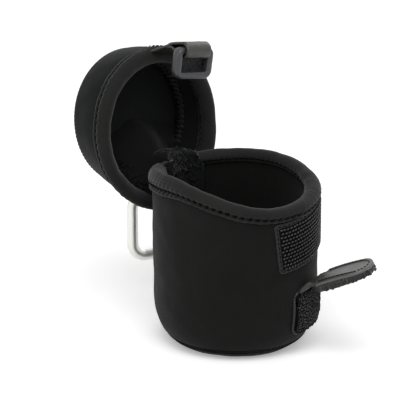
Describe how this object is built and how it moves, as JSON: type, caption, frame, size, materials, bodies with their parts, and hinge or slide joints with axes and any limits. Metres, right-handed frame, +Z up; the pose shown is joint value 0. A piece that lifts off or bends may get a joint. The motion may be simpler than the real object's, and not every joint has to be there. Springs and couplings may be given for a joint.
{
  "type": "lens pouch",
  "caption": "Small soft round pouch for a camera lens, with a padded hinged lid, a strap closing through a ring, and a spring hook to hang it by.",
  "frame": {"origin": "on the floor at the centre of the pouch's base", "axes": "+Z up, +Y towards the hinge of the lid, -Y towards the front, +X across the pouch"},
  "size_m": [0.0834, 0.163, 0.1481],
  "materials": {
    "neoprene": "black knitted jersey over neoprene, matte",
    "binding_cloth": "black stretch binding tape, matte",
    "seam_thread": "black overlocked thread",
    "hook_tape": "black hook tape in rows",
    "pile_tape": "black looped pile tape",
    "webbing": "black woven webbing",
    "leather": "black synthetic leather, satin",
    "ring_plastic": "black moulded, glossy",
    "aluminium": "matte grey, lightly blasted",
    "steel_pin": "plain"
  },
  "bodies": {
    "pouch": {"body_wall": "neoprene", "body_base": "neoprene", "base_seam": "seam_thread", "base_pad": "neoprene", "body_binding": "binding_cloth", "hinge_strip": "neoprene", "hook_patch_backing": "webbing", "hook_patch": "hook_tape", "strap_root": "leather", "strap_root_tape": "pile_tape"},
    "strap": {"strap_neck": "leather", "strap_leather": "leather", "strap_tape": "pile_tape"},
    "lid": {"lid_wall": "neoprene", "lid_wall_back": "neoprene", "lid_top": "neoprene", "lid_seam": "seam_thread", "lid_binding": "binding_cloth", "lid_binding_back": "binding_cloth", "tab_root": "leather"},
    "tab": {"ring_tab": "leather"},
    "ring": {"ring": "ring_plastic"},
    "hang_loop": {"hang_loop": "webbing"},
    "hook": {"hook_body": "aluminium", "gate_pin": "steel_pin"},
    "gate": {"hook_gate": "aluminium"}
  },
  "joints": [
    {"name": "lid_hinge", "type": "hinge", "parent": "pouch", "child": "lid", "pos_m": [0, 0.0302, 0.0708], "axis": [1, 0, 0], "range_deg": [0, 103.8], "deforming": ["hinge_strip", "lid_wall_back", "lid_binding_back"]},
    {"name": "strap_bend", "type": "hinge", "parent": "pouch", "child": "strap", "pos_m": [0.01078, -0.04255, 0.03779], "axis": [0.9703, 0.2419, 0], "range_deg": [0, 60], "deforming": ["strap_neck"]},
    {"name": "tab_bend", "type": "hinge", "parent": "lid", "child": "tab", "pos_m": [0.00748, 0.06048, 0.1407], "axis": [0.9848, -0.0414, -0.1686], "range_deg": [-23.1, 0]},
    {"name": "ring_swing", "type": "hinge", "parent": "tab", "child": "ring", "pos_m": [0.0068, 0.03706, 0.14249], "axis": [0.9848, -0.0414, -0.1686], "range_deg": [-80.9, 0]},
    {"name": "loop_bend", "type": "hinge", "parent": "lid", "child": "hang_loop", "pos_m": [0.01197, 0.07484, 0.06781], "axis": [0.9397, -0.342, 0], "range_deg": [-52, 0], "deforming": ["hang_loop"]},
    {"name": "hook_swing", "type": "hinge", "parent": "hang_loop", "child": "hook", "pos_m": [0.01197, 0.07484, 0.05841], "axis": [0.9397, -0.342, 0], "range_deg": [-12, 60]},
    {"name": "gate_hinge", "type": "hinge", "parent": "hook", "child": "gate", "pos_m": [0.02156, 0.07135, 0.03431], "axis": [0.342, 0.9397, 0], "range_deg": [-22, 0], "stiffness_Nm_per_rad": 0.002, "springref_deg": 5.73}
  ],
  "couplings": [
    {"joint": "tab_bend", "follows": "lid_hinge", "ratio": -0.22158},
    {"joint": "ring_swing", "follows": "lid_hinge", "ratio": -0.77842},
    {"joint": "loop_bend", "follows": "lid_hinge", "ratio": -0.5}
  ]
}
